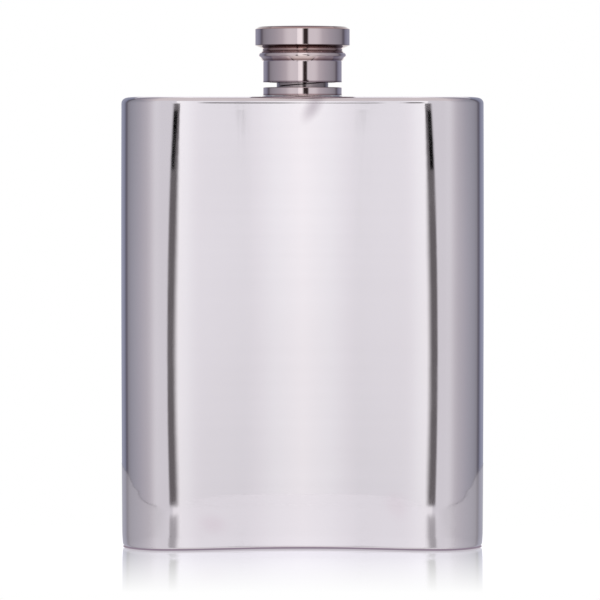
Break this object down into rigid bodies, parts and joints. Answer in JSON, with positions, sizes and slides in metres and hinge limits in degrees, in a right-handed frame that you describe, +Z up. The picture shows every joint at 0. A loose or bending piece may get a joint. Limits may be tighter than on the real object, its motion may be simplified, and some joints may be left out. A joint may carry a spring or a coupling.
{
  "type": "hip flask",
  "caption": "Polished pewter hip flask of kidney section, soldered from sheet, with a threaded neck, a neck collar and a turned screw cap that unscrews and lifts off.",
  "frame": {"origin": "centre of the body's footprint, on the surface that the flask stands on", "axes": "+Z up along the neck, +X across the width, -Y out of the hollow side that lies against the hip"},
  "size_m": [0.0902, 0.0281, 0.13],
  "materials": {
    "pewter": "polished",
    "solder": "dressed and polished solder",
    "plated_brass": "polished nickel plate",
    "seal": "matt"
  },
  "bodies": {
    "flask": {"base_plate": "pewter", "top_plate": "pewter", "hip_side_panel": "pewter", "outer_side_panel": "pewter", "left_side_seam": "solder", "right_side_seam": "solder", "base_corner_solder": "solder", "top_corner_solder": "solder", "threaded_neck": "plated_brass", "neck_root_solder": "solder", "neck_collar": "plated_brass", "neck_collar_solder": "solder"},
    "seal": {"cap_seal": "seal"},
    "cap": {"cap_shell": "plated_brass", "cap_thread_insert": "plated_brass", "cap_insert_solder": "solder"}
  },
  "joints": [
    {"name": "cap_lift", "type": "slide", "parent": "flask", "child": "seal", "axis": [0, 0, 1], "range_m": [0, 0.0151]},
    {"name": "cap_spin", "type": "hinge", "parent": "seal", "child": "cap", "pos_m": [0, 0.00222, 0.112], "axis": [0, 0, 1], "range_deg": [0, 1800]}
  ],
  "couplings": [
    {"joint": "cap_lift", "follows": "cap_spin", "m_per_rad": 0.00047746}
  ]
}
